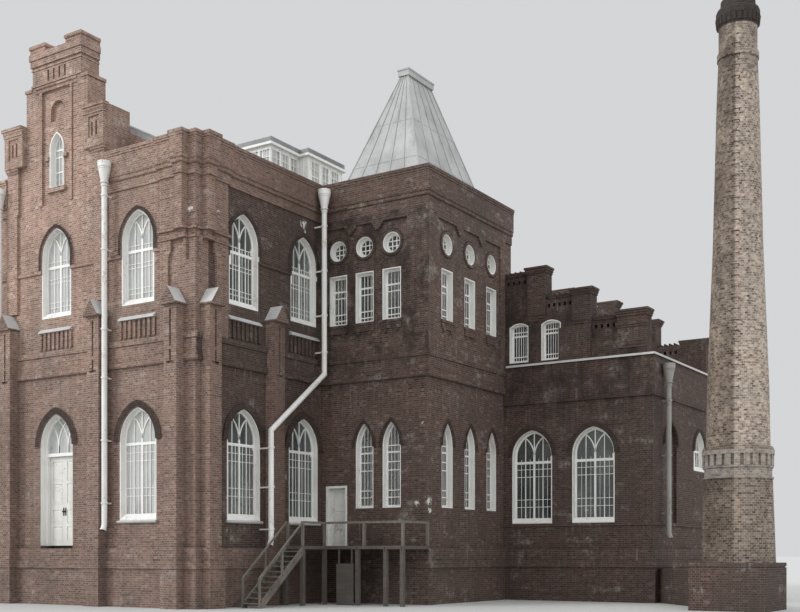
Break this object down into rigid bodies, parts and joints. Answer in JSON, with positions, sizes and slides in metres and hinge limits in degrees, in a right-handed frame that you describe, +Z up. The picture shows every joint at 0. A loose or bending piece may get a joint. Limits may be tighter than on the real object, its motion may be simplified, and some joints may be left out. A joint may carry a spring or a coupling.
{
  "type": "brick factory building",
  "caption": "Two-storey brick factory building with stepped gables, a square tower, a low wing and a separate tapered smokestack.",
  "frame": {"origin": "middle of the footprint at ground level", "axes": "+Z up, -Y towards the long gabled front, +X towards the wing and the smokestack"},
  "size_m": [31.18, 21.65, 20.96],
  "materials": {
    "brick": "dark hard-burnt brick with pale joints",
    "chimney_brick": "pale mottled brick",
    "white_paint": "white oil paint",
    "sheet_metal": "pale painted sheet metal",
    "timber": "grey weathered boards",
    "glass": "old window glass"
  },
  "bodies": {
    "building": {"main_plinth": "brick", "main_south_wall_west": "brick", "main_south_wall_east": "brick", "main_south_wall_over_door": "brick", "main_east_wall": "brick", "main_west_wall": "brick", "main_north_wall": "brick", "front_gable": "brick", "main_parapet": "brick", "corner_turrets": "brick", "buttresses": "brick", "buttress_caps": "sheet_metal", "main_floors": "timber", "main_roof": "sheet_metal", "roof_lantern": "white_paint", "main_window_frames": "white_paint", "main_window_glass": "glass", "window_sills": "sheet_metal", "front_door_frame": "white_paint", "tower_plinth": "brick", "tower_south_wall_west": "brick", "tower_south_wall_east": "brick", "tower_south_wall_over_door": "brick", "tower_east_wall": "brick", "tower_north_wall": "brick", "tower_parapet": "brick", "tower_floors": "timber", "tower_hood": "sheet_metal", "tower_window_frames": "white_paint", "tower_window_glass": "glass", "tower_door_frame": "white_paint", "wing_plinth": "brick", "wing_south_gable": "brick", "wing_east_wall": "brick", "wing_north_gable": "brick", "wing_gable_piers": "brick", "wing_roof": "sheet_metal", "wing_floor": "timber", "wing_window_frames": "white_paint", "wing_window_glass": "glass", "chimney_plinth": "brick", "chimney_base": "chimney_brick", "chimney_shaft": "chimney_brick", "chimney_crown": "brick", "flue_duct": "brick", "downpipes": "sheet_metal", "stair_landing": "timber", "stair_flight": "timber", "stair_rails": "timber"},
    "left_leaf": {"front_door_left_leaf": "white_paint"},
    "right_leaf": {"front_door_right_leaf": "white_paint"},
    "tower_door_leaf": {"tower_door": "white_paint"}
  },
  "joints": [
    {"name": "left_leaf_hinge", "type": "hinge", "parent": "building", "child": "left_leaf", "pos_m": [-8.666, -9.799, 2.15], "axis": [0, 0, 1], "range_deg": [0, 95]},
    {"name": "right_leaf_hinge", "type": "hinge", "parent": "building", "child": "right_leaf", "pos_m": [-7.114, -9.799, 2.15], "axis": [0, 0, -1], "range_deg": [0, 95]},
    {"name": "tower_door_hinge", "type": "hinge", "parent": "building", "child": "tower_door_leaf", "pos_m": [-0.761, -2.939, 2.15], "axis": [0, 0, 1], "range_deg": [0, 95]}
  ]
}
